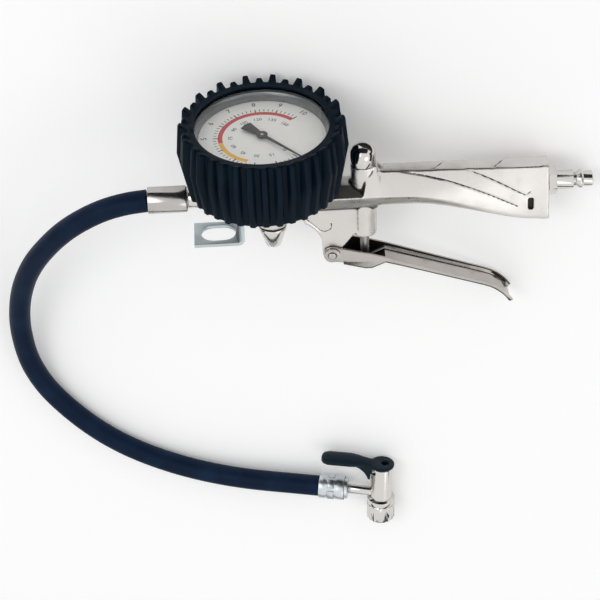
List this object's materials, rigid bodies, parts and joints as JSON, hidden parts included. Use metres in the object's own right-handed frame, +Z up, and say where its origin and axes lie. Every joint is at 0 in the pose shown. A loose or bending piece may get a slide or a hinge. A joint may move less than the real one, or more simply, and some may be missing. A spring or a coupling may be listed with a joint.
{
  "type": "tire inflating gun",
  "caption": "Hand-held tire inflating gun with a squeeze lever, a dial gauge in a ribbed rubber boot, an air-line plug and a short hose with a lock-on chuck, lying on its side.",
  "frame": {"origin": "middle of the gun's footprint on the table, without the hose and the chuck", "axes": "+Z up from the table, +X along the grip towards the air plug, +Y the way the dial faces"},
  "size_m": [0.3516, 0.3075, 0.0961],
  "materials": {
    "nickel": "bright nickel plate",
    "steel": "plated steel",
    "zinc": "zinc plated",
    "brass": "turned brass",
    "case_paint": "black paint",
    "boot_rubber": "moulded",
    "hose_rubber": "smooth",
    "seal_rubber": "matt",
    "dial_white": "printed",
    "bezel_grey": "satin",
    "clear_lens": "clear",
    "pointer_black": "matt",
    "lever_plastic": "moulded"
  },
  "bodies": {
    "gun": {"body_casting": "nickel", "valve_cap": "nickel", "valve_spring": "steel", "trigger_pin": "steel", "pin_clip": "steel", "air_plug": "nickel", "plug_seal": "seal_rubber", "bottom_plug": "nickel", "bottom_seal": "seal_rubber", "hang_bracket": "zinc", "hose_fitting": "nickel", "fitting_seal": "seal_rubber", "rubber_boot": "boot_rubber", "gauge_case": "case_paint", "bezel_ring": "bezel_grey", "gauge_lens": "clear_lens", "dial_plate": "dial_white", "gauge_socket": "brass", "bourdon_tube": "brass", "movement_base": "brass", "movement_top": "brass", "tube_link": "brass", "gun_ferrule": "nickel", "air_hose": "hose_rubber", "chuck_ferrule": "nickel", "chuck_stem": "nickel", "chuck_barrel": "nickel", "chuck_nut": "nickel", "chuck_gasket": "seal_rubber", "chuck_lever_pin": "steel"},
    "trigger": {"trigger_lever": "steel"},
    "stem": {"valve_stem": "steel", "stem_seal": "seal_rubber"},
    "pointer": {"gauge_pointer": "pointer_black", "pointer_shaft": "steel"},
    "sector": {"sector_gear": "brass"},
    "thumb_lever": {"chuck_lever": "lever_plastic"},
    "plunger": {"chuck_plunger": "brass"}
  },
  "joints": [
    {"name": "trigger_hinge", "type": "hinge", "parent": "gun", "child": "trigger", "pos_m": [-0.0332, -0.02689, 0.03213], "axis": [0.1824, -0.1244, 0.9753], "range_deg": [0, 14], "stiffness_Nm_per_rad": 1.5, "springref_deg": -20.05},
    {"name": "stem_slide", "type": "slide", "parent": "gun", "child": "stem", "axis": [0.0229, 0.9922, 0.1223], "range_m": [0, 0.005], "deforming": ["valve_spring"]},
    {"name": "pointer_hinge", "type": "hinge", "parent": "gun", "child": "pointer", "pos_m": [-0.06847, 0.0123, 0.04373], "axis": [-0.0229, -0.9922, -0.1223], "range_deg": [0, 270], "stiffness_Nm_per_rad": 0.0008, "springref_deg": -34.38},
    {"name": "sector_hinge", "type": "hinge", "parent": "gun", "child": "sector", "pos_m": [-0.08359, 0.0123, 0.04656], "axis": [0.0229, 0.9922, 0.1223], "range_deg": [0, 54]},
    {"name": "thumb_lever_hinge", "type": "hinge", "parent": "gun", "child": "thumb_lever", "pos_m": [-0.01435, -0.20182, 0.009], "axis": [0, 0, 1], "range_deg": [0, 10]},
    {"name": "plunger_slide", "type": "slide", "parent": "gun", "child": "plunger", "axis": [0.0436, 0.999, 0], "range_m": [0, 0.0008], "stiffness_N_per_m": 200, "springref_m": -0.005}
  ],
  "couplings": [
    {"joint": "stem_slide", "follows": "trigger_hinge", "m_per_rad": 0.0202},
    {"joint": "sector_hinge", "follows": "pointer_hinge", "ratio": 0.2},
    {"joint": "thumb_lever_hinge", "follows": "plunger_slide", "rad_per_m": 218}
  ]
}
